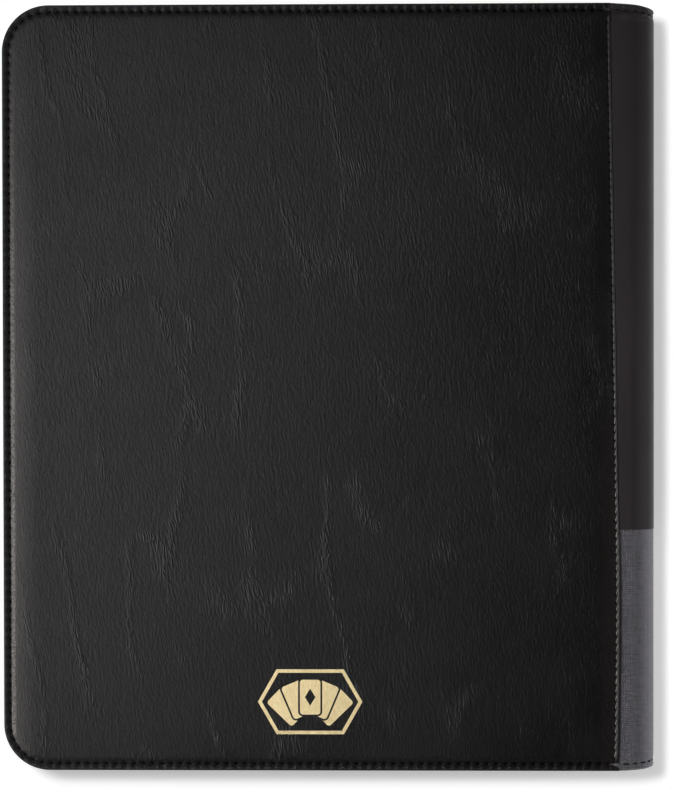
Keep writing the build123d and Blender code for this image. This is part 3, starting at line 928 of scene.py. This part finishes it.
def thread_material(name, dark, light, roughness, head_brightness=1.0, **values):
    """Twisted thread, with its ply running along each stitch, darker towards the head; the argument after the
    roughness is its brightness there.
    """
    s = Shader(name, **values)
    run = s.run()
    twist = s.math("ADD", s.times(run[0], 9000.0), s.times(run[1], 900.0))
    ply = s.remap(s.math("SINE", twist), -1, 1, 0, 1)
    # darker towards the head, with random patches
    place_tone = s.remap(s.here()[1], 0.0, 0.12, 1.0, head_brightness, True)
    place_tone = s.times(place_tone, s.remap(s.noise(400, 3), 0.3, 0.7, 0.5, 1.0))
    color = s.mix(s.times(ply, place_tone), dark, light)
    return s.finish(color, s.remap(ply, 0, 1, roughness + 0.1, roughness), [(ply, 0.5, 0.00008)])


def metal(name, color, low, high):
    """Plated or bare steel with fine rub marks and a few dull spots."""
    s = Shader(name, Metallic=1.0)
    rub = s.noise(1.0, 5, 0.6, s.place((900, 35, 900)))
    dull = s.remap(s.noise(160, 5, 0.6), 0.62, 0.74, 0, 0.45, True)
    tint = s.mix(dull, color, (0.3, 0.28, 0.26))
    rough = s.math("ADD", s.remap(rub, 0.3, 0.7, low, high), s.times(dull, 0.35))
    return s.finish(tint, rough, [(rub, 0.08, 0.00005)])


def foil_material():
    """Gold foil that takes the leather's grain and is thinned by wear in places."""
    s = Shader("gold_foil", Metallic=0.75)
    grain = s.noise(1.0, 5, 0.6, s.place((1500, 500, 1500)))
    rub = s.noise(900, 4, 0.7)
    color = s.mix(s.remap(grain, 0.3, 0.7, 0, 1), (0.76, 0.6, 0.31), (0.9, 0.76, 0.46))
    color = s.mix(s.remap(rub, 0.66, 0.76, 0, 0.6, True), color, (0.16, 0.12, 0.05))
    return s.finish(color, s.remap(rub, 0.3, 0.7, 0.45, 0.6), [(grain, 0.4, 0.0001), (rub, 0.3, 0.00005)])


def grainy(name, dark, light, scale, roughness, strength, depth, stretch=(1, 1, 1), **values):
    """Matt material with a mottled colour and a grainy surface."""
    s = Shader(name, **values)
    grain = s.noise(scale, 5, 0.65, s.place(stretch))
    broad = s.noise(scale / 14, 3, 0.5, s.place(stretch))
    tone = s.math("ADD", s.times(grain, 0.6), s.times(broad, 0.4))
    color = s.mix(s.remap(tone, 0.35, 0.65, 0, 1), dark, light)
    rough = s.remap(grain, 0.3, 0.7, roughness - 0.05, roughness + 0.07)
    return s.finish(color, rough, [(grain, strength, depth)])


def make_materials():
    return {
        "leather": leather_material(),
        "spine_skin": spine_material(),
        # the woven panel's last number is its painted highlight towards the spine's outer face
        "woven": woven("woven_panel", (0.024, 0.0225, 0.026), (0.27, 0.255, 0.3), 0.0009, 0.72, 1.0, 0.7, 0.6),
        "lining": woven("lining_cloth", (0.008, 0.008, 0.009), (0.026, 0.026, 0.029), 0.0005, 0.78, 0.6, 0.25),
        "thread": thread_material("black_thread", (0.003, 0.0025, 0.0024), (0.016, 0.0125, 0.012), 0.65,
                                  Specular_IOR_Level=0.15),
        "seam_thread": thread_material("grey_thread", (0.045, 0.042, 0.04), (0.34, 0.325, 0.31), 0.55, 0.28,
                                       Sheen_Weight=0.3),
        # painted shade for the needle holes
        "hole": grainy("painted_hole_shade", (0.0003, 0.0003, 0.0003), (0.0008, 0.0007, 0.0007), 900, 0.9, 0.2, 0.0001,
                       Specular_IOR_Level=0.05),
        "lining_plain": grainy("spine_cloth", (0.008, 0.008, 0.009), (0.026, 0.026, 0.029), 1400, 0.78, 0.6,
                               0.0001),
        "foam": grainy("foam", (0.05, 0.05, 0.05), (0.12, 0.12, 0.12), 900, 0.9, 0.6, 0.0003),
        "board": grainy("greyboard", (0.2, 0.17, 0.13), (0.36, 0.31, 0.25), 500, 0.85, 0.4, 0.0001, (1, 4, 4)),
        "foil": foil_material(),
        "nickel": metal("nickel_plate", (0.66, 0.65, 0.63), 0.16, 0.3),
        "steel": metal("blade_steel", (0.5, 0.5, 0.51), 0.3, 0.45),
        "page": grainy("page_sheet", (0.010, 0.010, 0.011), (0.022, 0.022, 0.024), 1200, 0.5, 0.25, 0.00006),
        "film": film_material(),
    }


def film_material():
    """Clear pocket film over the dark sheet, faintly cloudy."""
    s = Shader("clear_film", Alpha=0.3, Specular_IOR_Level=0.6)
    cloud = s.noise(60, 4)
    color = s.mix(s.remap(cloud, 0.3, 0.7, 0, 1), (0.28, 0.28, 0.3), (0.42, 0.42, 0.45))
    return s.finish(color, s.remap(cloud, 0.3, 0.7, 0.14, 0.28), [(s.noise(90, 3), 0.2, 0.0006)])


def dress(mats):
    """Materials of the CAD nodes that stay in view."""
    kinds = {
        "nickel": ["ring_housing", "housing_rivets", "lever_head", "lever_foot"],
        "steel": ["lever_pins", "blade_back", "blade_front"],
        "board": ["front_cover_board", "back_cover_board"],
    }
    kinds["nickel"] += [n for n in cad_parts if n.startswith("ring_") and n != "ring_housing"]
    for kind, names in kinds.items():
        for name in names:
            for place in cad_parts[name].material_slots:
                place.material = mats[kind]


# ---------------------------------------------------------------- studio

TABLE = 12.0  # half the table's width, in metres
TABLE_GAP = 0.0004  # keeps the table's face just under the binder's

def area(name, energy, size, at, look_at):
    """Soft rectangular light that points at a place."""
    light = bpy.data.lights.new(name, "AREA")
    light.shape = "RECTANGLE"
    light.size, light.size_y = size
    light.energy = energy
    obj = bpy.data.objects.new(name, light)
    bpy.context.scene.collection.objects.link(obj)
    obj.location = at
    direction = Vector(look_at) - obj.location
    obj.rotation_euler = direction.to_track_quat("-Z", "Y").to_euler()
    return obj


def studio():
    """White table, a bright tent that is dark overhead, and soft lights. The one above lights only the
    table, for its white and its soft shadow; the two at the left light everything but the table."""
    scene = bpy.context.scene
    scene.view_settings.view_transform = "Standard"
    world = bpy.data.worlds.new("studio")
    scene.world = world
    world.use_nodes = True
    nodes, links = world.node_tree.nodes, world.node_tree.links
    up = nodes.new("ShaderNodeSeparateXYZ")
    links.new(nodes.new("ShaderNodeTexCoord").outputs["Generated"], up.inputs[0])
    tent = nodes.new("ShaderNodeMapRange")
    tent.interpolation_type = "SMOOTHSTEP"
    for socket, value in (("From Min", 0.55), ("From Max", 0.95), ("To Min", 1.0), ("To Max", 0.25)):
        tent.inputs[socket].default_value = value
    links.new(up.outputs["Z"], tent.inputs["Value"])
    links.new(tent.outputs[0], nodes["Background"].inputs[0])
    nodes["Background"].inputs[1].default_value = 0.28
    above = area("above", 14.7, (0.17, 0.17), (-0.185, 0.185, 1.55), (0, 0, 0))
    left = area("left", 0.48, (0.45, 0.6), (-0.62, 0.22, 1.05), (-0.2, 0, 0.04))
    left.data.spread = math.radians(30)
    low = area("low", 11.7, (0.25, 0.9), (-0.95, -0.25, 0.6), (-0.1, 0, 0.04))
    area("right", 1.5, (0.3, 0.9), (1.0, -0.1, 0.5), (0.1, 0, 0.04))
    floor = Shader("floor", Specular_IOR_Level=0.2, Emission_Color=(1, 1, 1, 1), Emission_Strength=0.37)
    tone = floor.mix(floor.noise(3, 2), (0.86, 0.86, 0.86), (0.88, 0.88, 0.88))
    mat = floor.finish(tone, floor.remap(floor.noise(40, 3), 0.3, 0.7, 0.75, 0.85))
    mesh = bpy.data.meshes.new("floor")
    corners = [(x * TABLE, y * TABLE, 0) for x, y in ((-1, -1), (1, -1), (1, 1), (-1, 1))]
    mesh.from_pydata(corners, [], [(0, 1, 2, 3)])
    mesh.materials.append(mat)
    obj = bpy.data.objects.new("floor", mesh)
    obj.location.z = -TABLE_GAP
    scene.collection.objects.link(obj)
    table = bpy.data.collections.new("table")
    table.objects.link(obj)
    above.light_linking.receiver_collection = table
    others = bpy.data.collections.new("all_but_table")
    others.objects.link(obj)
    others.collection_objects[0].light_linking.link_state = "EXCLUDE"
    left.light_linking.receiver_collection = low.light_linking.receiver_collection = others


def camera():
    """Almost straight above the closed binder, a touch towards the spine and the head."""
    data = bpy.data.cameras.new("camera")
    data.sensor_fit = "HORIZONTAL"
    data.sensor_width = 36
    distance, width = 1.3, 0.28975
    data.lens = 36 * distance / width
    data.clip_start = 0.05
    obj = bpy.data.objects.new("camera", data)
    target = np.array((0.0038, -0.0028, TOP / 1000))
    lean_x, lean_y = math.sin(math.radians(1.5)), math.sin(math.radians(1.0))
    away = np.array((lean_x, lean_y, 1.0)) / math.hypot(lean_x, lean_y, 1.0)
    obj.location = target + distance * away
    obj.rotation_euler = (-math.asin(away[1]), math.atan(lean_x), math.radians(-0.1))
    bpy.context.scene.collection.objects.link(obj)
    bpy.context.scene.camera = obj


mats = make_materials()
for side in ("front", "back"):
    cover(side, mats)
    fold(side, mats)
    sew(side, mats)
spine(mats)
sew_spine(mats)
emblem(mats)
pages(mats)
dress(mats)
studio()
camera()
